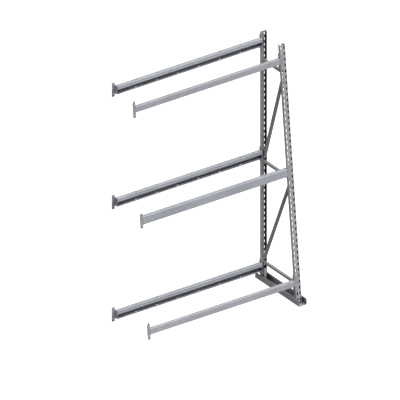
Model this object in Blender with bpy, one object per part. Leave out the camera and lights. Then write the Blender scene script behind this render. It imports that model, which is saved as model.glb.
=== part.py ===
"""Add-on bay of a single-sided storage rack with a tapered, slotted frame.

One frame (a vertical rear upright and a front upright that leans back) stands in a
channel-shaped foot rail. Three rear beams and three front beams hook into its slots
and reach along -X to where the next frame would stand. X runs along the bay, Y from
front to rear, Z up. Lengths below are in millimetres; the scene is in metres.
"""

import math

import bmesh
import bpy
from mathutils import Matrix, Vector

MM = 0.001
GAP = 0.3

# Bay and frame
BAY_CLEAR = 1394.0
FOOT_LENGTH = 600.0
FOOT_WIDTH = 75.0
FOOT_HEIGHT = 53.0
FOOT_WALL = 3.0
FOOT_BEND = 4.0
FRONT_SLOPE = 0.1051
REAR_WEB_Y = 250.0
FRONT_WEB_Y = -253.1

# Upright section (a slotted box with a narrower neck for the braces) and slots
UPRIGHT_LENGTH = 2202.0
UPRIGHT_W = 52.0
UPRIGHT_D = 26.0
NECK_W = 28.0
NECK_D = 12.0
SHEET = 2.0
SLOT_PITCH = 50.0
SLOT_FIRST = 26.0
SLOT_COUNT = 44
SLOT_COLUMN = 13.0
SLOT_SHAPE = ((-5.2, -12.0), (5.2, -12.0), (6.8, 4.5), (3.6, 12.0), (-3.6, 12.0), (-6.8, 4.5))

# Bracing
BRACE_W = 23.4
BRACE_H = 20.0
BRACE_END = 10.0
RIVET_LINE = 32.0
STRUT_LEVELS = {"bottom": 162.0, "middle": 1060.0, "top": 1960.0}
DIAGONALS = {"lower": (210.0, 992.0), "upper": (1110.0, 1892.0)}
RIVET_R = 3.0
RIVET_HEAD_R = 5.2
RIVET_HEAD = 1.8
HOLE_R = 3.3

# Foot connection
BRACKET_WALL = 2.0
BRACKET_HEIGHT = 104.0
BRACKET_BACK = 8.0
BASE_PLATE = 3.0
BASE_PLATE_W = 56.0
BASE_TONGUE_W = 24.0
BASE_TONGUE = 78.0
ANCHOR_AT = 60.0
ANCHOR_R = 6.0
BASE_RIVET_T = 26.0

# Beams
CHANNEL_H = 67.0
CHANNEL_D = 40.0
CHANNEL_LIP = 28.0
GROOVE = 4.0
TUBE_H = 50.0
TUBE_D = 35.0
DIVIDER_R = 5.5
DIVIDER_FIRST = 200.0
DIVIDER_PITCH = 200.0
DIVIDER_COUNT = 6
LEVELS = ("bottom", "middle", "top")
REAR_BEAM_Z = (127.0, 1127.0, 2127.0)
FRONT_BEAM_T = (165.2, 1114.0, 2065.2)
FRONT_BEAM_KIND = ("tube", "channel", "tube")

# Hook-in connectors and lock pins
PLATE = 3.0
PLATE_REACH = 24.0
PLATE_CHAMFER = 6.0
LEG_AT = 2.5
TALL_LEG_D = 28.0
LEG_ROOT = 5.0
REAR_PLATES = ((52.0, 179.0), (1052.0, 1179.0), (2052.0, 2179.0))
FRONT_PLATES = ((103.0, 236.0), (1054.0, 1182.0), (2000.0, 2134.0))
HOOK_W = 8.0
PIN_R = 2.5
PIN_ABOVE = 4.5
PIN_HEAD_R = 5.0
PIN_HEAD_H = 3.0
PIN_TIP = 8.0

TILT = math.atan(FRONT_SLOPE)
FLOOR_Z = FOOT_WALL + GAP
BASE_Z = FLOOR_Z + BASE_PLATE + GAP
FRAME_X = (PLATE_REACH + BAY_CLEAR + UPRIGHT_W / 2 - FOOT_WIDTH / 2) / 2
ROUND = 12


def clear_scene():
    for item in list(bpy.data.objects):
        bpy.data.objects.remove(item, do_unlink=True)


def axes(right, outward, up, origin):
    """Matrix taking (u, v, t) to the scene, with its origin in millimetres."""
    turn = Matrix((right, outward, up)).transposed().to_4x4()
    return Matrix.Translation(Vector(origin)) @ turn


SINE, COSINE = math.sin(TILT), math.cos(TILT)
FRONT_BASE_Z = BASE_Z + (UPRIGHT_D + NECK_D) * SINE
FRONT_ORIGIN = (FRAME_X, FRONT_WEB_Y + FRONT_BASE_Z * FRONT_SLOPE, FRONT_BASE_Z)
REAR = axes((1, 0, 0), (0, 1, 0), (0, 0, 1), (FRAME_X, REAR_WEB_Y, BASE_Z))
FRONT = axes((-1, 0, 0), (0, -COSINE, SINE), (0, SINE, COSINE), FRONT_ORIGIN)
REAR_LEVEL = axes((1, 0, 0), (0, 1, 0), (0, 0, 1), (FRAME_X, REAR_WEB_Y, FLOOR_Z))
FRONT_LEVEL = axes((-1, 0, 0), (0, -1, 0), (0, 0, 1), (*FRONT_ORIGIN[:2], FLOOR_Z))
BAY_SIDE = {"rear": -1.0, "front": 1.0}


def material(name, colour, roughness, metallic=0.9):
    made = bpy.data.materials.new(name)
    made.use_nodes = True
    shader = made.node_tree.nodes["Principled BSDF"]
    shader.inputs["Base Color"].default_value = (*colour, 1.0)
    shader.inputs["Roughness"].default_value = roughness
    shader.inputs["Metallic"].default_value = metallic
    return made


def place(bm, frame, order, points, along):
    """Vertices at 2D points, with the third coordinate fixed, in a local frame."""
    made = []
    for a, b in points:
        local = dict(zip(order, (a, b, along)))
        at = frame @ Vector((local["u"], local["v"], local["t"]))
        made.append(bm.verts.new(at * MM))
    return made


def prism(bm, frame, order, points, low, high):
    """Closed prism: points in the first two axes of order, run along the third."""
    start = place(bm, frame, order, points, low)
    end = place(bm, frame, order, points, high)
    bm.faces.new(start)
    bm.faces.new(end)
    for i in range(len(points)):
        j = (i + 1) % len(points)
        bm.faces.new((start[i], start[j], end[j], end[i]))


def box(bm, frame, low, high):
    corners = ((low[0], low[1]), (high[0], low[1]), (high[0], high[1]), (low[0], high[1]))
    prism(bm, frame, "uvt", corners, low[2], high[2])


def ring_points(centre, radius):
    turns = [2 * math.pi * i / ROUND for i in range(ROUND)]
    return [(centre[0] + radius * math.cos(a), centre[1] + radius * math.sin(a)) for a in turns]


def sleeve(bm, frame, order, outer, inner, low, high):
    """Closed tube between two outlines with as many points each."""
    rings = []
    for points, along in ((outer, low), (outer, high), (inner, high), (inner, low)):
        rings.append(place(bm, frame, order, points, along))
    for k in range(4):
        one, two = rings[k], rings[(k + 1) % 4]
        for i in range(len(outer)):
            j = (i + 1) % len(outer)
            bm.faces.new((one[i], one[j], two[j], two[i]))


def turned(bm, frame, order, centre, stations):
    """Closed turned body: stations are (along, radius)."""
    rings = []
    for along, radius in stations:
        rings.append(place(bm, frame, order, ring_points(centre, radius), along))
    for one, two in zip(rings, rings[1:]):
        for i in range(ROUND):
            j = (i + 1) % ROUND
            bm.faces.new((one[i], one[j], two[j], two[i]))
    bm.faces.new(rings[0])
    bm.faces.new(rings[-1])


def make(name, bm, look, origin=(0.0, 0.0, 0.0), smooth=False):
    """Turn a bmesh into a named object with its origin at a point in millimetres."""
    bmesh.ops.recalc_face_normals(bm, faces=bm.faces)
    at = Vector(origin) * MM
    bmesh.ops.translate(bm, verts=bm.verts, vec=-at)
    mesh = bpy.data.meshes.new(name)
    bm.to_mesh(mesh)
    bm.free()
    if smooth:
        mesh.polygons.foreach_set("use_smooth", [True] * len(mesh.polygons))
        mesh.set_sharp_from_angle(angle=math.radians(40))
    made = bpy.data.objects.new(name, mesh)
    made.location = at
    bpy.context.scene.collection.objects.link(made)
    if look:
        mesh.materials.append(look)
    return made


def boolean(target, bm, operation):
    """Add to or cut a piece with a hidden helper solid."""
    helper = make(f"{target.name}_{operation.lower()}", bm, None)
    helper.hide_render = True
    helper.display_type = "WIRE"
    step = target.modifiers.new(operation.title(), "BOOLEAN")
    step.operation = operation
    step.solver = "EXACT"
    step.object = helper


def strut_ends(rear_z, front_z):
    """Rivet centres (t on the rear upright, t on the front upright) at two heights."""
    rear_t = rear_z - BASE_Z
    front_t = (front_z - FRONT_BASE_Z + RIVET_LINE * SINE) / COSINE
    return rear_t, front_t


def joints():
    """Every riveted joint: name, t on the rear upright, t on the front upright."""
    made = [(f"strut_{name}", *strut_ends(z, z)) for name, z in STRUT_LEVELS.items()]
    made += [(f"diagonal_{name}", *strut_ends(*ends)) for name, ends in DIAGONALS.items()]
    return made + [("base", BASE_RIVET_T, BASE_RIVET_T)]


def uprights(look):
    half, neck = UPRIGHT_W / 2, NECK_W / 2
    back, end = -UPRIGHT_D, -UPRIGHT_D - NECK_D
    side = (
        (half, 0), (half, back), (neck, back), (neck, end), (neck - SHEET, end),
        (neck - SHEET, back + SHEET), (half - SHEET, back + SHEET), (half - SHEET, -SHEET),
    )
    section = side + tuple((-u, v) for u, v in reversed(side))
    for name, frame, rivets in (
        ("rear_upright", REAR, [rear for label, rear, front in joints()]),
        ("front_upright", FRONT, [front for label, rear, front in joints()]),
    ):
        bm = bmesh.new()
        prism(bm, frame, "uvt", section, 0.0, UPRIGHT_LENGTH)
        post = make(name, bm, look)
        cut = bmesh.new()
        for k in range(SLOT_COUNT):
            t = SLOT_FIRST + SLOT_PITCH * k
            for column in (-SLOT_COLUMN, SLOT_COLUMN):
                slot = [(column + u, t + up) for u, up in SLOT_SHAPE]
                prism(cut, frame, "utv", slot, -SHEET - 2.0, 2.0)
        for t in rivets:
            hole = ring_points((-RIVET_LINE, t), HOLE_R)
            prism(cut, frame, "vtu", hole, -half - 2.0, half + 2.0)
        boolean(post, cut, "DIFFERENCE")


def foot_rail(look):
    half, wall, bend = FOOT_WIDTH / 2, FOOT_WALL, FOOT_BEND
    inner = bend + wall * (math.sqrt(2) - 1)
    section = (
        (-half, FOOT_HEIGHT), (-half, bend), (bend - half, 0), (half - bend, 0), (half, bend),
        (half, FOOT_HEIGHT), (half - wall, FOOT_HEIGHT), (half - wall, inner),
        (half - inner, wall), (inner - half, wall), (wall - half, inner),
        (wall - half, FOOT_HEIGHT),
    )
    frame = Matrix.Translation(Vector((FRAME_X, 0, 0)))
    bm = bmesh.new()
    prism(bm, frame, "utv", section, -FOOT_LENGTH / 2, FOOT_LENGTH / 2)
    rail = make("foot_rail", bm, look)
    cut = bmesh.new()
    for level in (REAR_LEVEL, FRONT_LEVEL):
        hole = ring_points((0, -ANCHOR_AT), ANCHOR_R)
        prism(cut, level, "uvt", hole, -FLOOR_Z - 3.0, 3.0)
    boolean(rail, cut, "DIFFERENCE")


def base_brackets(look):
    """Base plates under the uprights, each with an upstand in the neck and an anchor tongue."""
    wide = NECK_W / 2 - SHEET - GAP
    end = -UPRIGHT_D - NECK_D
    inner = wide - BRACKET_WALL
    upstand = (
        (wide, end), (wide, -BRACKET_BACK), (inner, -BRACKET_BACK), (inner, end + BRACKET_WALL),
        (-inner, end + BRACKET_WALL), (-inner, -BRACKET_BACK), (-wide, -BRACKET_BACK), (-wide, end),
    )
    plate, tongue = BASE_PLATE_W / 2, BASE_TONGUE_W / 2
    outline = (
        (plate, 0), (plate, end), (tongue, end), (tongue, -BASE_TONGUE),
        (-tongue, -BASE_TONGUE), (-tongue, end), (-plate, end), (-plate, 0),
    )
    for name, frame, level in (
        ("rear_base_bracket", REAR, REAR_LEVEL),
        ("front_base_bracket", FRONT, FRONT_LEVEL),
    ):
        bm = bmesh.new()
        prism(bm, level, "uvt", outline, 0.0, BASE_PLATE)
        bracket = make(name, bm, look)
        add = bmesh.new()
        prism(add, frame, "uvt", upstand, -BASE_PLATE / 2, BRACKET_HEIGHT)
        boolean(bracket, add, "UNION")
        cut = bmesh.new()
        hole = ring_points((0, -ANCHOR_AT), ANCHOR_R)
        prism(cut, level, "uvt", hole, -2.0, BASE_PLATE + 2.0)
        pin = ring_points((-RIVET_LINE, BASE_RIVET_T), HOLE_R)
        prism(cut, frame, "vtu", pin, -wide - 2.0, wide + 2.0)
        boolean(bracket, cut, "DIFFERENCE")


def brace(name, rear_t, front_t, opens_up, look):
    """Channel between a rivet in the rear upright and a rivet in the front upright."""
    start = REAR @ Vector((0, -RIVET_LINE, rear_t))
    end = FRONT @ Vector((0, -RIVET_LINE, front_t))
    run = (end - start).normalized()
    across = Vector((1, 0, 0))
    side = run.cross(across)
    frame = axes(across, side, run, start)
    w, h, open_to = BRACE_W / 2, BRACE_H / 2, -1.0 if opens_up else 1.0
    section = (
        (-w, -h), (w, -h), (w, h), (w - SHEET, h), (w - SHEET, SHEET - h),
        (SHEET - w, SHEET - h), (SHEET - w, h), (-w, h),
    )
    section = [(a, b * open_to) for a, b in section]
    length = (end - start).length
    bm = bmesh.new()
    prism(bm, frame, "uvt", section, -BRACE_END, length + BRACE_END)
    piece = make(name, bm, look)
    cut = bmesh.new()
    for t in (0.0, length):
        prism(cut, frame, "vtu", ring_points((0, t), HOLE_R), -w - 2.0, w + 2.0)
    boolean(piece, cut, "DIFFERENCE")


def rivets(look):
    """A flat-headed rivet through the neck of the upright at every joint."""
    half = NECK_W / 2 + GAP
    head = half + RIVET_HEAD
    for label, rear, front in joints():
        for side, frame, t in (("rear", REAR, rear), ("front", FRONT, front)):
            bm = bmesh.new()
            turned(bm, frame, "vtu", (-RIVET_LINE, t), (
                (-head, RIVET_HEAD_R - 1.2), (0.6 - head, RIVET_HEAD_R), (-half, RIVET_HEAD_R),
                (-half, RIVET_R), (half, RIVET_R), (half, RIVET_HEAD_R),
                (head - 0.6, RIVET_HEAD_R), (head, RIVET_HEAD_R - 1.2),
            ))
            make(f"rivet_{label}_{side}", bm, look, smooth=True)


def channel_section():
    """Channel beam outline in (v, t): web outside at v = 0, grooved lip at the far edge."""
    h, deep, lip = CHANNEL_H / 2, CHANNEL_D, CHANNEL_LIP
    groove = deep - GROOVE
    return (
        (0, -h), (0, h), (-deep, h), (-deep, h - 6.0), (-groove, h - 8.0),
        (-groove, h - 14.0), (-deep, h - 16.0), (-deep, h - lip), (SHEET - deep, h - lip),
        (SHEET - deep, h - 15.2), (SHEET - groove, h - 13.2), (SHEET - groove, h - SHEET),
        (-SHEET, h - SHEET), (-SHEET, SHEET - h), (-deep, SHEET - h), (-deep, -h),
    )


def beam(name, side, frame, centre_t, kind, look):
    s = BAY_SIDE[side]
    near = UPRIGHT_W / 2 + LEG_AT + PLATE + GAP
    far = UPRIGHT_W / 2 + BAY_CLEAR - LEG_AT - PLATE - GAP
    bm = bmesh.new()
    if kind == "channel":
        section = [(v, centre_t + t) for v, t in channel_section()]
        prism(bm, frame, "vtu", section, s * near, s * far)
        piece = make(name, bm, look)
        cut = bmesh.new()
        for k in range(DIVIDER_COUNT):
            u = s * (UPRIGHT_W / 2 + DIVIDER_FIRST + DIVIDER_PITCH * k)
            hole = ring_points((u, -CHANNEL_D / 2), DIVIDER_R)
            reach = CHANNEL_H / 2 + 3.0
            prism(cut, frame, "uvt", hole, centre_t - reach, centre_t + reach)
        boolean(piece, cut, "DIFFERENCE")
        return
    h, deep = TUBE_H / 2, TUBE_D
    outer = ((0, -h), (0, h), (-deep, h), (-deep, -h))
    inner = ((-SHEET, SHEET - h), (-SHEET, h - SHEET), (SHEET - deep, h - SHEET), (SHEET - deep, SHEET - h))
    outer = [(v, centre_t + t) for v, t in outer]
    inner = [(v, centre_t + t) for v, t in inner]
    sleeve(bm, frame, "vtu", outer, inner, s * near, s * far)
    make(name, bm, look)


def hook_slots(low, high):
    """Slot centres that a hook plate covers, clear of its ends."""
    centres = [SLOT_FIRST + SLOT_PITCH * k for k in range(SLOT_COUNT)]
    return [t for t in centres if low + 18.0 < t < high - 12.0]


def connector(name, side, frame, plate_span, beam_span, kind, at_frame, look):
    """Bent plate: a leg across the beam end, a hook plate on the upright, and hooks."""
    s = BAY_SIDE[side]
    low, high = plate_span

    def across(d):
        """Distance from the near upright's flange, mirrored at the free end."""
        return s * (UPRIGHT_W / 2 + (d if at_frame else BAY_CLEAR - d))

    leg = LEG_AT + PLATE
    c = PLATE_CHAMFER
    outline = (
        (leg, low), (c - PLATE_REACH, low), (-PLATE_REACH, low + c),
        (-PLATE_REACH, high - c), (c - PLATE_REACH, high), (leg, high),
    )
    bm = bmesh.new()
    face = [(across(d), t) for d, t in outline]
    prism(bm, frame, "utv", face, GAP, GAP + PLATE)
    piece = make(name, bm, look)

    add = bmesh.new()
    bottom, top = beam_span
    if kind == "channel":
        side_leg = (
            (GAP + 1.0, bottom - LEG_ROOT), (GAP + 1.0, top + LEG_ROOT), (-6.0, top + LEG_ROOT),
            (-CHANNEL_D, top + 1.0), (-CHANNEL_D, bottom - 1.0), (-6.0, bottom - LEG_ROOT),
        )
    else:
        side_leg = (
            (GAP + 1.0, low + 1.0), (GAP + 1.0, high - 1.0), (c - TALL_LEG_D, high - 1.0),
            (-TALL_LEG_D, high - c), (-TALL_LEG_D, low + c), (c - TALL_LEG_D, low + 1.0),
        )
    prism(add, frame, "vtu", side_leg, across(LEG_AT), across(leg))
    middle = across(-(UPRIGHT_W / 2 - SLOT_COLUMN))
    for t in hook_slots(low, high):
        hook = (
            (GAP + 1.0, t - 11.7), (-SHEET - GAP, t - 11.7), (-SHEET - GAP, t - 20.5),
            (-SHEET - GAP - 2.0, t - 20.5), (-SHEET - GAP - 3.0, t - 16.5),
            (-SHEET - GAP - 3.0, t - 3.5), (GAP + 1.0, t - 3.5),
        )
        prism(add, frame, "vtu", hook, middle - HOOK_W / 2, middle + HOOK_W / 2)
    boolean(piece, add, "UNION")

    cut = bmesh.new()
    hole = ring_points((middle, hook_slots(low, high)[-1] + PIN_ABOVE), PIN_R + GAP)
    prism(cut, frame, "utv", hole, GAP - 2.0, GAP + PLATE + 2.0)
    boolean(piece, cut, "DIFFERENCE")


def lock_pin(name, side, frame, plate_span, look):
    """Headed pin through the hook plate that fills the slot above the top hook."""
    u = BAY_SIDE[side] * SLOT_COLUMN
    t = hook_slots(*plate_span)[-1] + PIN_ABOVE
    head = GAP + PLATE + GAP
    bm = bmesh.new()
    turned(bm, frame, "utv", (u, t), (
        (-PIN_TIP, PIN_R - 1.0), (1.2 - PIN_TIP, PIN_R), (head, PIN_R), (head, PIN_HEAD_R),
        (head + PIN_HEAD_H - 0.8, PIN_HEAD_R), (head + PIN_HEAD_H, PIN_HEAD_R - 0.8),
    ))
    make(name, bm, look, origin=frame @ Vector((u, 0, t)), smooth=True)


def beams_and_connectors(channel_look, tube_look, plate_look, pin_look):
    rear_t = [z - BASE_Z for z in REAR_BEAM_Z]
    rows = (
        ("rear", REAR, rear_t, REAR_PLATES, ("channel",) * 3),
        ("front", FRONT, FRONT_BEAM_T, FRONT_PLATES, FRONT_BEAM_KIND),
    )
    for side, frame, centres, plates, kinds in rows:
        for level, centre, plate, kind in zip(LEVELS, centres, plates, kinds):
            channel = kind == "channel"
            look = channel_look if channel else tube_look
            half = (CHANNEL_H if channel else TUBE_H) / 2
            span = (centre - half, centre + half)
            label = f"{side}_{level}"
            beam(f"beam_{label}", side, frame, centre, kind, look)
            for end in ("frame", "free"):
                name = f"connector_{label}_{end}"
                connector(name, side, frame, plate, span, kind, end == "frame", plate_look)
            lock_pin(f"lock_pin_{label}", side, frame, plate, pin_look)


def main():
    clear_scene()
    galvanised = material("galvanised_frame", (0.42, 0.42, 0.44), 0.42)
    foot = material("galvanised_foot", (0.36, 0.355, 0.36), 0.5)
    braces = material("galvanised_brace", (0.38, 0.38, 0.37), 0.45)
    channels = material("galvanised_channel_beam", (0.46, 0.47, 0.5), 0.38)
    tubes = material("galvanised_tube_beam", (0.44, 0.44, 0.46), 0.4)
    plates = material("galvanised_plate", (0.38, 0.38, 0.39), 0.45)
    brackets = material("galvanised_bracket", (0.5, 0.52, 0.54), 0.4)
    zinc = material("zinc_rivet", (0.5, 0.5, 0.52), 0.3)
    pins = material("zinc_pin", (0.55, 0.55, 0.57), 0.28)

    foot_rail(foot)
    uprights(galvanised)
    base_brackets(brackets)
    for level, z in STRUT_LEVELS.items():
        brace(f"strut_{level}", *strut_ends(z, z), True, braces)
    for name, (low, high) in DIAGONALS.items():
        brace(f"diagonal_{name}", *strut_ends(low, high), False, braces)
    rivets(zinc)
    beams_and_connectors(channels, tubes, plates, pins)


main()
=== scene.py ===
"""Looks for the storage rack add-on bay: fine sheet-metal pieces, materials, light, camera."""

import math

import bmesh
import bpy
from mathutils import Matrix, Vector


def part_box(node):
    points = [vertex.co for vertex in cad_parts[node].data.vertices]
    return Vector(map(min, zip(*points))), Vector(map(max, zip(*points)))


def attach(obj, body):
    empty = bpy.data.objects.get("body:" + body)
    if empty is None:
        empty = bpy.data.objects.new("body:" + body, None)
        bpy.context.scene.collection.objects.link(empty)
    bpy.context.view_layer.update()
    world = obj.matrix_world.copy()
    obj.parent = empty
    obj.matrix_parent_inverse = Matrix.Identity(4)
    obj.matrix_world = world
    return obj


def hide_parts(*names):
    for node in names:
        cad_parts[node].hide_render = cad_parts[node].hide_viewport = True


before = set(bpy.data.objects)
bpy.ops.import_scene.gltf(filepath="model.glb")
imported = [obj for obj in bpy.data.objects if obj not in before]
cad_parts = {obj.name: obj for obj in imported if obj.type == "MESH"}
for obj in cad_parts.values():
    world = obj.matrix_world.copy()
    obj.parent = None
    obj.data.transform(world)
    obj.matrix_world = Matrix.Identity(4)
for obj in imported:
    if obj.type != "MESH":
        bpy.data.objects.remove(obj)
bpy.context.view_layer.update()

MM = 0.001
GAP = 0.3

# Frame: sections and places, in millimetres
SLOPE = 0.1051
SHEET = 2.0
UPRIGHT_LENGTH, UPRIGHT_W, UPRIGHT_D, UPRIGHT_BEND = 2202.0, 52.0, 26.0, 1.9
NECK_W, NECK_D = 28.0, 12.0
FOOT_WALL, FOOT_BEND = 3.0, 5.0
ANCHOR_AT, ANCHOR_R = 60.0, 6.0
BASE_PLATE, BASE_PLATE_W, BASE_TONGUE_W, BASE_TONGUE = 3.0, 56.0, 24.0, 78.0
BRACKET_WALL, BRACKET_HEIGHT, BRACKET_BACK, BRACKET_BEND = 2.0, 104.0, 8.0, 2.2
BRACE_W, BRACE_H, BRACE_END, BRACE_BEND = 23.4, 20.0, 10.0, 2.4
STRUTS = {"bottom": 162.0, "middle": 1060.0, "top": 1960.0}
DIAGONALS = {"lower": (210.0, 992.0), "upper": (1110.0, 1892.0)}
RIVET_LINE, RIVET_R, HOLE_R = 32.0, 3.0, 3.3
BASE_RIVET_T = 26.0

# Profile of a rivet's head: (distance from its seat, radius)
RIVET_HEAD = ((0.0, 5.2), (0.5, 5.15), (1.0, 4.8), (1.45, 4.0), (1.7, 2.9), (1.8, 1.4))

# Hook slots in the uprights
SLOT_PITCH, SLOT_FIRST, SLOT_COUNT, SLOT_COLUMN = 50.0, 26.0, 44, 13.0
SLOT_CORNERS = ((-5.2, -12.0), (5.2, -12.0), (6.8, 5.5), (5.0, 12.0), (-5.0, 12.0), (-6.8, 5.5))
SLOT_RADII = (1.5, 1.5, 3.0, 3.0, 3.0, 3.0)

# Beams
BAY_CLEAR = 1394.0
LEVELS = ("bottom", "middle", "top")
REAR_BEAM_Z = {"bottom": 127.0, "middle": 1127.0, "top": 2127.0}
FRONT_BEAM_T = {"bottom": 165.2, "middle": 1114.0, "top": 2065.2}
CHANNEL_H, CHANNEL_D, CHANNEL_LIP, CHANNEL_BEND = 67.0, 40.0, 28.0, 3.0
GROOVE, GROOVE_BEND = 4.0, 1.2
TUBE_H, TUBE_D, TUBE_OUTER, TUBE_INNER = 50.0, 35.0, 3.5, 1.5
DIVIDER_R, DIVIDER_FIRST, DIVIDER_PITCH, DIVIDER_COUNT = 5.5, 200.0, 200.0, 6

# Hook-in connectors: lower and upper end of each hook plate along its upright
PLATES = {
    "rear": {"bottom": (52.0, 179.0), "middle": (1052.0, 1179.0), "top": (2052.0, 2179.0)},
    "front": {"bottom": (103.0, 236.0), "middle": (1054.0, 1182.0), "top": (2000.0, 2134.0)},
}
PLATE, PLATE_REACH, PLATE_CHAMFER, PLATE_BEND, LEG_AT = 3.0, 24.0, 6.0, 3.2, 2.5
TALL_LEG_D, LEG_ROOT, LEG_TAPER = 28.0, 5.0, 6.0
SLOT_ABOVE_LOW, SLOT_BELOW_HIGH = 18.0, 12.0
WELD_R, WELD_STEP, WELD_RIPPLE, WELD_WAVE = 1.5, 1.3, 0.13, 2.4

# Hooks, as distances below the centre of their slot
HOOK_W, HOOK_TOP, HOOK_SEAT, HOOK_SLANT, HOOK_TIP = 8.0, 3.5, 11.7, 16.5, 20.5
HOOK_WALL, HOOK_TIP_WALL = 3.0, 2.0

# Lock pins: (distance from the seat of the head, radius) of the head's profile
PIN_R, PIN_ABOVE, PIN_TIP = 2.5, 4.5, 8.0
PIN_HEAD = ((0.0, 4.6), (0.4, 5.0), (2.0, 5.0), (2.6, 4.7), (2.9, 4.1), (3.0, 3.2))

# How far a cutter reaches past a surface, and an added shape into its plate
PAST, ROOT = 2.0, 1.0

BODY = "bay"

# Light and camera
ROOM_LOW, ROOM_HIGH = 0.08, 0.38
KEY_POWER, FILL_POWER, BACK_POWER = 2.95, 0.42, 0.9
FLOOR_SIZE, FLOOR_GLOW = 30.0, 0.85
VIEW_WIDTH, VIEW_AZIMUTH, VIEW_ELEVATION, VIEW_DISTANCE = 3.137, -35.0, 28.25, 8.0
VIEW_TARGET = (-0.07135, 0.0, 1.0491)

# Zinc: scales of its patterns per metre, and the painted shade inside the open sections (colour and
# specular darkened by an occlusion probe)
SPANGLE, CLOUDS, MARKS, FINE = 95.0, 4.5, 38.0, 900.0
STREAK_ALONG, STREAK_ACROSS = 3.0, 260.0
SHADE_PAINT_REACH, SHADE_PAINT_DARK, SHADE_PAINT_FROM, SHADE_PAINT_TO = 90.0, 0.12, 0.18, 0.64


def axes(right, outward, up, origin):
    """Matrix taking (u, v, t) to the scene, with its origin in millimetres."""
    turn = Matrix((right, outward, up)).transposed().to_4x4()
    return Matrix.Translation(Vector(origin)) @ turn


def box_mm(node):
    low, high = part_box(node)
    return [x / MM for x in low], [x / MM for x in high]


TILT = math.atan(SLOPE)
SINE, COSINE = math.sin(TILT), math.cos(TILT)
REAR_LOW, REAR_HIGH = box_mm("rear_upright")
FRONT_LOW = box_mm("front_upright")[0]
FRAME_X = (REAR_LOW[0] + REAR_HIGH[0]) / 2
BASE_Z = REAR_LOW[2]
FRONT_BASE_Z = FRONT_LOW[2] + (UPRIGHT_D + NECK_D) * SINE
FLOOR_Z = box_mm("rear_base_bracket")[0][2]
REAR = axes((1, 0, 0), (0, 1, 0), (0, 0, 1), (FRAME_X, REAR_HIGH[1], BASE_Z))
FRONT_FOOT = (FRAME_X, FRONT_LOW[1], FRONT_BASE_Z)
FRONT = axes((-1, 0, 0), (0, -COSINE, SINE), (0, SINE, COSINE), FRONT_FOOT)
REAR_LEVEL = axes((1, 0, 0), (0, 1, 0), (0, 0, 1), (FRAME_X, REAR_HIGH[1], FLOOR_Z))
FRONT_LEVEL = axes((-1, 0, 0), (0, -1, 0), (0, 0, 1), (FRAME_X, FRONT_LOW[1], FLOOR_Z))
SIDES = {"rear": (REAR, -1.0), "front": (FRONT, 1.0)}


# ---------------------------------------------------------------- mesh tools

def place(bm, local, order, points, along):
    made = []
    for a, b in points:
        at = dict(zip(order, (a, b, along)))
        made.append(bm.verts.new(local @ Vector((at["u"], at["v"], at["t"])) * MM))
    return made


def bridge(bm, one, two):
    for i in range(len(one)):
        j = (i + 1) % len(one)
        bm.faces.new((one[i], one[j], two[j], two[i]))


def prism(bm, local, order, points, low, high):
    start = place(bm, local, order, points, low)
    end = place(bm, local, order, points, high)
    bm.faces.new(start)
    bm.faces.new(end)
    bridge(bm, start, end)


def ring_points(centre, radius, count=28):
    turns = [2 * math.pi * i / count for i in range(count)]
    return [(centre[0] + radius * math.cos(a), centre[1] + radius * math.sin(a)) for a in turns]


def sleeve(bm, local, order, outer, inner, low, high):
    spans = ((outer, low), (outer, high), (inner, high), (inner, low))
    rings = [place(bm, local, order, points, along) for points, along in spans]
    for k in range(4):
        bridge(bm, rings[k], rings[(k + 1) % 4])


def turned(bm, local, order, centre, stations, count=32):
    rings = [place(bm, local, order, ring_points(centre, r, count), s) for s, r in stations]
    for one, two in zip(rings, rings[1:]):
        bridge(bm, one, two)
    bm.faces.new(rings[0])
    bm.faces.new(rings[-1])


def rounded(points, radii, steps=5, closed=False):
    """A polyline with its corners turned into arcs."""
    count = len(points)
    made = []
    for i, point in enumerate(points):
        radius = radii[i] if isinstance(radii, (list, tuple)) else radii
        if not closed and i in (0, count - 1) or radius <= 0:
            made.append(point)
            continue
        here = Vector(point)
        back = Vector(points[i - 1]) - here
        ahead = Vector(points[(i + 1) % count]) - here
        half = back.angle(ahead) / 2
        if half > math.pi / 2 - 0.02:
            made.append(point)
            continue
        reach = min(radius / math.tan(half), back.length * 0.49, ahead.length * 0.49)
        radius = reach * math.tan(half)
        back, ahead = back.normalized(), ahead.normalized()
        centre = here + (back + ahead).normalized() * (radius / math.sin(half))
        start, end = here + back * reach - centre, here + ahead * reach - centre
        turn = start.angle_signed(end)
        for k in range(steps + 1):
            arm = start.copy()
            arm.rotate(Matrix.Rotation(-turn * k / steps, 2))
            made.append(tuple(centre + arm))
    return made


def folded(path, thickness):
    """Outline of a bent sheet around an open centre line."""
    sides = ([], [])
    for i, point in enumerate(path):
        here = Vector(point)
        before = here - Vector(path[i - 1]) if i else None
        after = Vector(path[i + 1]) - here if i + 1 < len(path) else None
        runs = [run.normalized() for run in (before, after) if run]
        normals = [Vector((-run.y, run.x)) for run in runs]
        middle = sum(normals, Vector((0, 0))).normalized()
        middle /= middle.dot(normals[0])
        for side, sign in zip(sides, (1, -1)):
            side.append(tuple(here + middle * sign * thickness / 2))
    return sides[0] + sides[1][::-1]


def raw(name, bm):
    bmesh.ops.recalc_face_normals(bm, faces=bm.faces)
    mesh = bpy.data.meshes.new(name)
    bm.to_mesh(mesh)
    bm.free()
    made = bpy.data.objects.new(name, mesh)
    bpy.context.scene.collection.objects.link(made)
    return made


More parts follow.
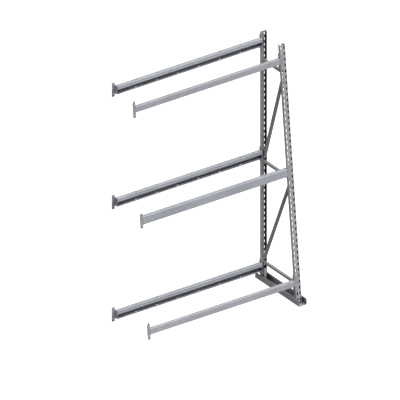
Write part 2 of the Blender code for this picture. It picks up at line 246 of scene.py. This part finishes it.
def piece(node, bm, look, cuts=None, adds=None, bevel=0.0, sharp=32, body=BODY):
    """Finish a solid: unions, cuts, bevel, shading; it stands for the CAD node."""
    made = raw(f"fine_{node}", bm)
    helpers = []
    for shape, operation in ((adds, "UNION"), (cuts, "DIFFERENCE")):
        if shape is None:
            continue
        helper = raw(f"helper_{node}_{operation.lower()}", shape)
        helpers.append(helper)
        step = made.modifiers.new(operation, "BOOLEAN")
        step.operation = operation
        step.solver = "EXACT"
        step.object = helper
    if bevel:
        edge = made.modifiers.new("Edges", "BEVEL")
        edge.width = bevel * MM
        edge.segments = 2
        edge.limit_method = "ANGLE"
        edge.angle_limit = math.radians(50)
        edge.harden_normals = False
    if made.modifiers:
        graph = bpy.context.evaluated_depsgraph_get()
        graph.update()
        solid = bpy.data.meshes.new_from_object(made.evaluated_get(graph), depsgraph=graph)
        made.modifiers.clear()
        made.data = solid
    for helper in helpers:
        bpy.data.objects.remove(helper, do_unlink=True)
    mesh = made.data
    mesh.polygons.foreach_set("use_smooth", [True] * len(mesh.polygons))
    mesh.set_sharp_from_angle(angle=math.radians(sharp))
    even = made.modifiers.new("Even", "WEIGHTED_NORMAL")
    even.keep_sharp = True
    even.weight = 90
    mesh.materials.clear()
    mesh.materials.append(look)
    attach(made, body)
    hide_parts(node)


# ---------------------------------------------------------------- materials


def galvanised(
    slot, colour, along, seed, rough=0.42, metallic=0.28, spangle=1.0, painted_shade_dark=SHADE_PAINT_DARK
):
    """Zinc-coated steel: spangle, rolling streaks along one axis, marks, and painted shade
    darkening the hollows.
    """
    made = bpy.data.materials.new(f"{slot}_zinc")
    made.use_nodes = True
    tree = made.node_tree
    shader = tree.nodes["Principled BSDF"]
    shader.inputs["Metallic"].default_value = metallic

    def node(kind, **inputs):
        new = tree.nodes.new(kind)
        for key, value in inputs.items():
            new.inputs[key.replace("_", " ")].default_value = value
        return new

    def link(start, end):
        tree.links.new(start, end)

    def spread(source, low, high, start=0.0, end=1.0):
        new = tree.nodes.new("ShaderNodeMapRange")
        link(source, new.inputs["Value"])
        new.inputs["From Min"].default_value = start
        new.inputs["From Max"].default_value = end
        new.inputs["To Min"].default_value = low
        new.inputs["To Max"].default_value = high
        return new.outputs["Result"]

    def times(one, two):
        new = tree.nodes.new("ShaderNodeMath")
        new.operation = "MULTIPLY"
        link(one, new.inputs[0])
        link(two, new.inputs[1])
        return new.outputs[0]

    where = node("ShaderNodeTexCoord").outputs["Object"]
    shift = node("ShaderNodeMapping")
    shift.inputs["Location"].default_value = (seed, seed * 0.7, seed * 1.3)
    link(where, shift.inputs["Vector"])
    stretch = node("ShaderNodeMapping")
    scales = [STREAK_ALONG if axis == along else STREAK_ACROSS for axis in "XYZ"]
    stretch.inputs["Scale"].default_value = scales
    link(shift.outputs["Vector"], stretch.inputs["Vector"])

    cells = node("ShaderNodeTexVoronoi", Scale=SPANGLE, Randomness=1.0)
    link(shift.outputs["Vector"], cells.inputs["Vector"])
    grain = tree.nodes.new("ShaderNodeSeparateColor")
    link(cells.outputs["Color"], grain.inputs["Color"])
    cloud = node("ShaderNodeTexNoise", Scale=CLOUDS, Detail=4.0, Roughness=0.6)
    link(shift.outputs["Vector"], cloud.inputs["Vector"])
    lines = node("ShaderNodeTexNoise", Scale=1.0, Detail=3.0, Roughness=0.55)
    link(stretch.outputs["Vector"], lines.inputs["Vector"])
    marks = node("ShaderNodeTexNoise", Scale=MARKS, Detail=5.0, Roughness=0.7)
    link(shift.outputs["Vector"], marks.inputs["Vector"])

    # Painted shade: an occlusion probe darkens the base colour and lowers the specular in hollows
    # and recesses
    hollow = tree.nodes.new("ShaderNodeAmbientOcclusion")
    hollow.samples = 6
    hollow.inputs["Distance"].default_value = SHADE_PAINT_REACH * MM
    painted_shade = spread(hollow.outputs["AO"], painted_shade_dark, 1.0, SHADE_PAINT_FROM, SHADE_PAINT_TO)
    link(spread(painted_shade, 0.0, 0.4), shader.inputs["Specular IOR Level"])
    shade = times(
        times(
            spread(grain.outputs["Red"], 1 - 0.05 * spangle, 1 + 0.05 * spangle),
            spread(cloud.outputs["Fac"], 0.93, 1.07, 0.3, 0.7),
        ),
        times(
            spread(lines.outputs["Fac"], 0.955, 1.045, 0.3, 0.7),
            times(spread(marks.outputs["Fac"], 1.0, 0.86, 0.62, 0.8), painted_shade),
        ),
    )
    tint = tree.nodes.new("ShaderNodeMix")
    tint.data_type = "RGBA"
    tint.inputs["A"].default_value = (*colour, 1.0)
    cool = [c * k for c, k in zip(colour, (0.95, 0.99, 1.06))]
    tint.inputs["B"].default_value = (*cool, 1.0)
    link(spread(grain.outputs["Green"], 0.0, 1.0), tint.inputs["Factor"])
    scale = tree.nodes.new("ShaderNodeVectorMath")
    scale.operation = "SCALE"
    link(tint.outputs["Result"], scale.inputs[0])
    link(shade, scale.inputs["Scale"])
    link(scale.outputs["Vector"], shader.inputs["Base Color"])

    gloss = times(
        spread(grain.outputs["Blue"], rough - 0.05 * spangle, rough + 0.05 * spangle),
        spread(cloud.outputs["Fac"], 0.9, 1.15, 0.3, 0.7),
    )
    link(gloss, shader.inputs["Roughness"])

    fine = node("ShaderNodeTexNoise", Scale=FINE, Detail=2.0)
    link(shift.outputs["Vector"], fine.inputs["Vector"])
    bump = node("ShaderNodeBump", Strength=0.12, Distance=0.0002)
    height = tree.nodes.new("ShaderNodeMath")
    height.operation = "ADD"
    link(lines.outputs["Fac"], height.inputs[0])
    link(fine.outputs["Fac"], height.inputs[1])
    link(height.outputs[0], bump.inputs["Height"])
    link(bump.outputs["Normal"], shader.inputs["Normal"])
    return made


LOOKS = {
    "upright": galvanised("upright", (0.54, 0.53, 0.54), "Z", 1.0),
    "foot": galvanised("foot", (0.52, 0.505, 0.505), "Y", 2.3, rough=0.5),
    "brace": galvanised("brace", (0.41, 0.415, 0.38), "Z", 3.1, rough=0.46),
    # channel beams get a lighter painted shade in their hollows
    "channel_beam": galvanised(
        "channel_beam", (0.52, 0.53, 0.56), "X", 4.7, rough=0.4, painted_shade_dark=0.22
    ),
    "tube_beam": galvanised("tube_beam", (0.53, 0.53, 0.55), "X", 5.9),
    "connector": galvanised("connector", (0.48, 0.48, 0.485), "Z", 6.4, rough=0.46),
    "bracket": galvanised("bracket", (0.62, 0.63, 0.64), "Z", 7.2, rough=0.4),
    "rivet": galvanised(
        "rivet", (0.56, 0.56, 0.57), "X", 8.8, rough=0.3, metallic=0.6, spangle=0.4
    ),
    "lock_pin": galvanised(
        "lock_pin", (0.6, 0.6, 0.61), "Y", 10.1, rough=0.28, metallic=0.7, spangle=0.3
    ),
}


# ---------------------------------------------------------------- pieces

def strut_ends(rear_z, front_z):
    rear_t = rear_z - BASE_Z
    front_t = (front_z - FRONT_BASE_Z + RIVET_LINE * SINE) / COSINE
    return rear_t, front_t


def joints():
    made = [(f"strut_{name}", *strut_ends(z, z)) for name, z in STRUTS.items()]
    made += [(f"diagonal_{name}", *strut_ends(*ends)) for name, ends in DIAGONALS.items()]
    return made + [("base", BASE_RIVET_T, BASE_RIVET_T)]


def slot_outline(column, t):
    """Tapered hook slot with rounded corners."""
    corners = [(column + u, t + up) for u, up in SLOT_CORNERS]
    return rounded(corners, SLOT_RADII, 3, closed=True)


def upright(side, ends):
    local = SIDES[side][0]
    half, neck, mid = UPRIGHT_W / 2, NECK_W / 2, SHEET / 2
    back, end = mid - UPRIGHT_D, -UPRIGHT_D - NECK_D
    path = ((neck - mid, end), (neck - mid, back), (half - mid, back), (half - mid, -mid))
    path += tuple((-u, v) for u, v in reversed(path))
    bm = bmesh.new()
    prism(bm, local, "uvt", folded(rounded(path, UPRIGHT_BEND), SHEET), 0.0, UPRIGHT_LENGTH)
    cut = bmesh.new()
    for k in range(SLOT_COUNT):
        for column in (-SLOT_COLUMN, SLOT_COLUMN):
            outline = slot_outline(column, SLOT_FIRST + SLOT_PITCH * k)
            prism(cut, local, "utv", outline, -SHEET - PAST, PAST)
    for t in ends:
        prism(cut, local, "vtu", ring_points((-RIVET_LINE, t), HOLE_R), -neck - PAST, neck + PAST)
    piece(f"{side}_upright", bm, LOOKS["upright"], cuts=cut)


def foot():
    low, high = box_mm("foot_rail")
    half, tall, mid = (high[0] - low[0]) / 2, high[2] - low[2], FOOT_WALL / 2
    path = ((mid - half, tall), (mid - half, mid), (half - mid, mid), (half - mid, tall))
    local = Matrix.Translation(Vector((FRAME_X, 0, 0)))
    bm = bmesh.new()
    prism(bm, local, "utv", folded(rounded(path, FOOT_BEND, 7), FOOT_WALL), low[1], high[1])
    cut = bmesh.new()
    for level in (REAR_LEVEL, FRONT_LEVEL):
        hole = ring_points((0, -ANCHOR_AT), ANCHOR_R, 40)
        prism(cut, level, "uvt", hole, -FLOOR_Z - PAST, PAST)
    piece("foot_rail", bm, LOOKS["foot"], cuts=cut, bevel=0.4)


def base_bracket(side, local, level):
    wide, mid = NECK_W / 2 - SHEET - GAP, BRACKET_WALL / 2
    end = -UPRIGHT_D - NECK_D
    plate, tongue = BASE_PLATE_W / 2, BASE_TONGUE_W / 2
    outline = (
        (plate, 0), (plate, end), (tongue, end), (tongue, -BASE_TONGUE),
        (-tongue, -BASE_TONGUE), (-tongue, end), (-plate, end), (-plate, 0),
    )
    outline = rounded(outline, (2, 4, 3, 6, 6, 3, 4, 2), closed=True)
    bm = bmesh.new()
    prism(bm, level, "uvt", outline, 0.0, BASE_PLATE)
    path = (
        (wide - mid, -BRACKET_BACK), (wide - mid, end + mid),
        (mid - wide, end + mid), (mid - wide, -BRACKET_BACK),
    )
    section = folded(rounded(path, BRACKET_BEND), BRACKET_WALL)
    upstand = bmesh.new()
    prism(upstand, local, "uvt", section, -BASE_PLATE / 2, BRACKET_HEIGHT)
    cut = bmesh.new()
    anchor = ring_points((0, -ANCHOR_AT), ANCHOR_R, 40)
    prism(cut, level, "uvt", anchor, -PAST, BASE_PLATE + PAST)
    rivet = ring_points((-RIVET_LINE, BASE_RIVET_T), HOLE_R)
    prism(cut, local, "vtu", rivet, -wide - PAST, wide + PAST)
    piece(f"{side}_base_bracket", bm, LOOKS["bracket"], cuts=cut, adds=upstand, bevel=0.3)


def brace(name, rear_t, front_t, opens_up):
    start = REAR @ Vector((0, -RIVET_LINE, rear_t))
    end = FRONT @ Vector((0, -RIVET_LINE, front_t))
    run = (end - start).normalized()
    across = Vector((1, 0, 0))
    local = axes(across, run.cross(across), run, start)
    w, h, mid = BRACE_W / 2, BRACE_H / 2, SHEET / 2
    path = ((mid - w, h), (mid - w, mid - h), (w - mid, mid - h), (w - mid, h))
    outline = folded(rounded(path, BRACE_BEND), SHEET)
    if opens_up:
        outline = [(a, -b) for a, b in outline]
    length = (end - start).length
    bm = bmesh.new()
    prism(bm, local, "uvt", outline, -BRACE_END, length + BRACE_END)
    cut = bmesh.new()
    for t in (0.0, length):
        prism(cut, local, "vtu", ring_points((0, t), HOLE_R), -w - PAST, w + PAST)
    piece(name, bm, LOOKS["brace"], cuts=cut)


def rivets():
    half = NECK_W / 2 + GAP
    for label, rear, front in joints():
        for side, t in (("rear", rear), ("front", front)):
            bm = bmesh.new()
            stations = [(-half - s, r) for s, r in reversed(RIVET_HEAD)]
            stations += [(-half, RIVET_R), (half, RIVET_R)]
            stations += [(half + s, r) for s, r in RIVET_HEAD]
            turned(bm, SIDES[side][0], "vtu", (-RIVET_LINE, t), stations)
            piece(f"rivet_{label}_{side}", bm, LOOKS["rivet"], sharp=40)


def beam_shape(side, level):
    """Kind of beam, its centre along the upright, half height and depth."""
    channel = side == "rear" or level == "middle"
    h, d = (CHANNEL_H / 2, CHANNEL_D) if channel else (TUBE_H / 2, TUBE_D)
    t = REAR_BEAM_Z[level] - BASE_Z if side == "rear" else FRONT_BEAM_T[level]
    return channel, t, h, d


def beam(side, level):
    local, s = SIDES[side]
    node = f"beam_{side}_{level}"
    channel, t, h, d = beam_shape(side, level)
    near = s * (UPRIGHT_W / 2 + LEG_AT + PLATE + GAP)
    far = s * (UPRIGHT_W / 2 + BAY_CLEAR - LEG_AT - PLATE - GAP)
    mid = SHEET / 2
    bm = bmesh.new()
    if not channel:
        corners = ((0, -h), (0, h), (-d, h), (-d, -h))
        inset = (
            (-SHEET, SHEET - h), (-SHEET, h - SHEET), (SHEET - d, h - SHEET), (SHEET - d, SHEET - h)
        )
        outer = [(v, t + up) for v, up in rounded(corners, TUBE_OUTER, 6, closed=True)]
        inner = [(v, t + up) for v, up in rounded(inset, TUBE_INNER, 6, closed=True)]
        sleeve(bm, local, "vtu", outer, inner, near, far)
        piece(node, bm, LOOKS["tube_beam"])
        return
    path = (
        (-d, mid - h), (-mid, mid - h), (-mid, h - mid), (mid - d, h - mid), (mid - d, h - 6.6),
        (mid + GROOVE - d, h - 8.6), (mid + GROOVE - d, h - 13.4), (mid - d, h - 15.4),
        (mid - d, h - CHANNEL_LIP),
    )
    groove = (GROOVE_BEND,) * 4
    radii = (0, CHANNEL_BEND, CHANNEL_BEND, 1.6, *groove, 0)
    outline = [(v, t + up) for v, up in folded(rounded(path, radii, 4), SHEET)]
    prism(bm, local, "vtu", outline, near, far)
    cut = bmesh.new()
    for k in range(DIVIDER_COUNT):
        u = s * (UPRIGHT_W / 2 + DIVIDER_FIRST + DIVIDER_PITCH * k)
        hole = ring_points((u, -CHANNEL_D / 2), DIVIDER_R, 32)
        prism(cut, local, "uvt", hole, t - h - PAST, t + h + PAST)
    piece(node, bm, LOOKS["channel_beam"], cuts=cut)


def hook_slots(low, high):
    """Centres of the slots that a hook plate covers, clear of its ends."""
    centres = [SLOT_FIRST + SLOT_PITCH * k for k in range(SLOT_COUNT)]
    return [t for t in centres if low + SLOT_ABOVE_LOW < t < high - SLOT_BELOW_HIGH]


def bead(bm, local, points, u):
    """Weld bead: a rippled tube along a path of (v, t) points."""
    rings = []
    walked = 0.0
    for i, (v, t) in enumerate(points):
        back, ahead = points[max(i - 1, 0)], points[min(i + 1, len(points) - 1)]
        run = (Vector(ahead) - Vector(back)).normalized()
        side = Vector((-run.y, run.x))
        if i:
            walked += (Vector((v, t)) - Vector(back)).length
        size = WELD_R * (1.0 + WELD_RIPPLE * math.sin(walked * WELD_WAVE))
        if i in (0, len(points) - 1):
            size *= 0.4  # both ends run out
        ring = []
        for k in range(8):
            angle = 2 * math.pi * k / 8
            off = side * math.cos(angle) * size
            at = Vector((u + math.sin(angle) * size, v + off.x, t + off.y))
            ring.append(bm.verts.new(local @ at * MM))
        rings.append(ring)
    for one, two in zip(rings, rings[1:]):
        bridge(bm, one, two)
    bm.faces.new(rings[0])
    bm.faces.new(rings[-1])


def walk(points, step):
    """Points every few millimetres along a polyline."""
    made = []
    for one, two in zip(points, points[1:]):
        one, two = Vector(one), Vector(two)
        count = max(1, round((two - one).length / step))
        made += [tuple(one.lerp(two, k / count)) for k in range(count)]
    return made + [tuple(points[-1])]


def connector(side, level, end):
    local, s = SIDES[side]
    node = f"connector_{side}_{level}_{end}"
    channel, centre, h, d = beam_shape(side, level)
    low, high = PLATES[side][level]
    at_frame = end == "frame"

    def across(x):
        return s * (UPRIGHT_W / 2 + (x if at_frame else BAY_CLEAR - x))

    leg, mid, c = LEG_AT + PLATE, PLATE / 2, PLATE_CHAMFER
    reach = d if channel else TALL_LEG_D
    bend = ((-PLATE_REACH, GAP + mid), (leg - mid, GAP + mid), (leg - mid, -reach))
    outline = [(across(x), v) for x, v in folded(rounded(bend, PLATE_BEND), PLATE)]
    bm = bmesh.new()
    prism(bm, local, "uvt", outline, low, high)

    add = bmesh.new()
    middle = across(-(UPRIGHT_W / 2 - SLOT_COLUMN))
    for t in hook_slots(low, high):
        inside = -SHEET - GAP
        hook = (
            (GAP + ROOT, t - HOOK_SEAT), (inside, t - HOOK_SEAT), (inside, t - HOOK_TIP),
            (inside - HOOK_TIP_WALL, t - HOOK_TIP), (inside - HOOK_WALL, t - HOOK_SLANT),
            (inside - HOOK_WALL, t - HOOK_TOP), (GAP + ROOT, t - HOOK_TOP),
        )
        hook = rounded(hook, (0, 1.0, 0.6, 0.6, 1.0, 2.0, 0), 3, closed=True)
        prism(add, local, "vtu", hook, middle - HOOK_W / 2, middle + HOOK_W / 2)

    cut = bmesh.new()
    top, bottom = centre + h, centre - h
    over, under = high + 6.0, low - 6.0
    for edge, end_t, way, out in ((top, high, 1.0, over), (bottom, low, -1.0, under)):
        if channel:
            shape = (
                (GAP, edge + way * LEG_ROOT), (-LEG_TAPER, edge + way * LEG_ROOT), (-d, edge + way),
                (-d - 5, edge + way), (-d - 5, out), (GAP, out),
            )
        else:
            shape = (
                (c - TALL_LEG_D, out), (c - TALL_LEG_D, end_t), (-TALL_LEG_D, end_t - way * c),
                (-TALL_LEG_D - 5, end_t - way * c), (-TALL_LEG_D - 5, out),
            )
        prism(cut, local, "vtu", shape, across(LEG_AT - 1.5), across(leg + 3.0))
    far = -PLATE_REACH
    for edge, inward in ((low, 1.0), (high, -1.0)):
        outside = edge - inward * 3
        wedge = ((far - 3, edge + inward * (c + 3)), (far + c + 3, outside), (far - 3, outside))
        wedge = [(across(x), t) for x, t in wedge]
        prism(cut, local, "utv", wedge, GAP - PAST, GAP + PLATE + PAST)
    hole = ring_points((middle, hook_slots(low, high)[-1] + PIN_ABOVE), PIN_R + GAP, 24)
    prism(cut, local, "utv", hole, GAP - PAST, GAP + PLATE + PAST)
    piece(node, bm, LOOKS["connector"], cuts=cut, adds=add, bevel=0.35)

    weld = bmesh.new()
    if channel:
        inner, corner = 1 - d, -2.5
    else:
        inner, corner = 2 - TALL_LEG_D, -3
    path = (
        (inner, bottom - 0.4), (corner, bottom - 0.4), (0.2, bottom + 3),
        (0.2, top - 3), (corner, top + 0.4), (inner, top + 0.4),
    )
    bead(weld, local, walk(path, WELD_STEP), across(leg + GAP + 0.4))
    seam = raw(f"weld_{side}_{level}_{end}", weld)
    seam.data.polygons.foreach_set("use_smooth", [True] * len(seam.data.polygons))
    seam.data.materials.append(LOOKS["connector"])
    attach(seam, BODY)


def lock_pin(side, level):
    local, s = SIDES[side]
    node = f"lock_pin_{side}_{level}"
    low, high = PLATES[side][level]
    centre = (s * SLOT_COLUMN, hook_slots(low, high)[-1] + PIN_ABOVE)
    head = GAP + PLATE + GAP
    stations = [(-PIN_TIP, PIN_R - 1.2), (0.5 - PIN_TIP, PIN_R - 0.5), (1.4 - PIN_TIP, PIN_R)]
    stations += [(head, PIN_R)] + [(head + s, r) for s, r in PIN_HEAD]
    bm = bmesh.new()
    turned(bm, local, "utv", centre, stations)
    piece(node, bm, LOOKS["lock_pin"], sharp=50, body=node)


def build():
    ends = joints()
    upright("rear", [rear for label, rear, front in ends])
    upright("front", [front for label, rear, front in ends])
    foot()
    base_bracket("rear", REAR, REAR_LEVEL)
    base_bracket("front", FRONT, FRONT_LEVEL)
    for label, rear, front in ends[:-1]:
        brace(label, rear, front, label.startswith("strut"))
    rivets()
    for side in SIDES:
        for level in LEVELS:
            beam(side, level)
            for end in ("frame", "free"):
                connector(side, level, end)
            lock_pin(side, level)


build()


# ---------------------------------------------------------------- stage, light, camera

def stage():
    bm = bmesh.new()
    bmesh.ops.create_grid(bm, x_segments=4, y_segments=4, size=FLOOR_SIZE)
    floor = raw("floor", bm)
    pale = bpy.data.materials.new("pale_floor")
    pale.use_nodes = True
    shader = pale.node_tree.nodes["Principled BSDF"]
    shader.inputs["Base Color"].default_value = (0.5, 0.5, 0.5, 1.0)
    shader.inputs["Roughness"].default_value = 0.9
    shader.inputs["Specular IOR Level"].default_value = 0.0
    shader.inputs["Emission Color"].default_value = (1.0, 1.0, 1.0, 1.0)
    shader.inputs["Emission Strength"].default_value = FLOOR_GLOW
    floor.data.materials.append(pale)
    floor.visible_diffuse = False
    floor.visible_glossy = False


def sun(name, power, colour, way, soft, glossy=True):
    """A soft light that shines along a direction."""
    light = bpy.data.lights.new(name, "SUN")
    light.energy = power
    light.color = colour
    light.angle = math.radians(soft)
    lamp = bpy.data.objects.new(name, light)
    lamp.rotation_euler = Vector(way).to_track_quat("-Z", "Y").to_euler()
    lamp.visible_glossy = glossy
    bpy.context.scene.collection.objects.link(lamp)


def sky():
    """Studio: a large soft light above the front, weaker ones at the side and back, a dim room."""
    world = bpy.data.worlds.new("studio")
    bpy.context.scene.world = world
    world.use_nodes = True
    tree = world.node_tree
    back = tree.nodes["Background"]
    way = tree.nodes.new("ShaderNodeTexCoord").outputs["Generated"]
    rise = tree.nodes.new("ShaderNodeSeparateXYZ")
    tree.links.new(way, rise.inputs["Vector"])
    height = tree.nodes.new("ShaderNodeMapRange")
    height.inputs["From Min"].default_value = -1.0
    height.inputs["From Max"].default_value = 1.0
    height.inputs["To Min"].default_value = ROOM_LOW
    height.inputs["To Max"].default_value = ROOM_HIGH
    tree.links.new(rise.outputs["Z"], height.inputs["Value"])
    back.inputs["Color"].default_value = (0.97, 0.98, 1.0, 1.0)
    tree.links.new(height.outputs["Result"], back.inputs["Strength"])
    plain = tree.nodes.new("ShaderNodeBackground")
    plain.inputs["Color"].default_value = (1.0, 1.0, 1.0, 1.0)
    choose = tree.nodes.new("ShaderNodeMixShader")
    ray = tree.nodes.new("ShaderNodeLightPath")
    tree.links.new(ray.outputs["Is Camera Ray"], choose.inputs["Fac"])
    tree.links.new(back.outputs["Background"], choose.inputs[1])
    tree.links.new(plain.outputs["Background"], choose.inputs[2])
    tree.links.new(choose.outputs["Shader"], tree.nodes["World Output"].inputs["Surface"])
    sun("key", KEY_POWER, (1.0, 0.995, 0.99), (-0.14, 0.52, -0.84), 38.0)
    sun("fill", FILL_POWER, (1.0, 0.93, 0.985), (0.85, 0.35, -0.39), 60.0)
    sun("back", BACK_POWER, (0.98, 0.99, 1.0), (-0.3, -0.93, -0.2), 60.0, glossy=False)


def camera():
    lens = bpy.data.cameras.new("camera")
    lens.type = "ORTHO"
    lens.ortho_scale = VIEW_WIDTH
    lens.clip_end = 60.0
    eye = bpy.data.objects.new("camera", lens)
    azimuth, elevation = math.radians(VIEW_AZIMUTH), math.radians(VIEW_ELEVATION)
    flat = math.cos(elevation)
    way = Vector((math.sin(azimuth) * flat, -math.cos(azimuth) * flat, math.sin(elevation)))
    eye.location = Vector(VIEW_TARGET) + way * VIEW_DISTANCE
    eye.rotation_euler = (-way).to_track_quat("-Z", "Y").to_euler()
    bpy.context.scene.collection.objects.link(eye)
    bpy.context.scene.camera = eye


stage()
sky()
camera()
bpy.context.scene.view_settings.view_transform = "Standard"
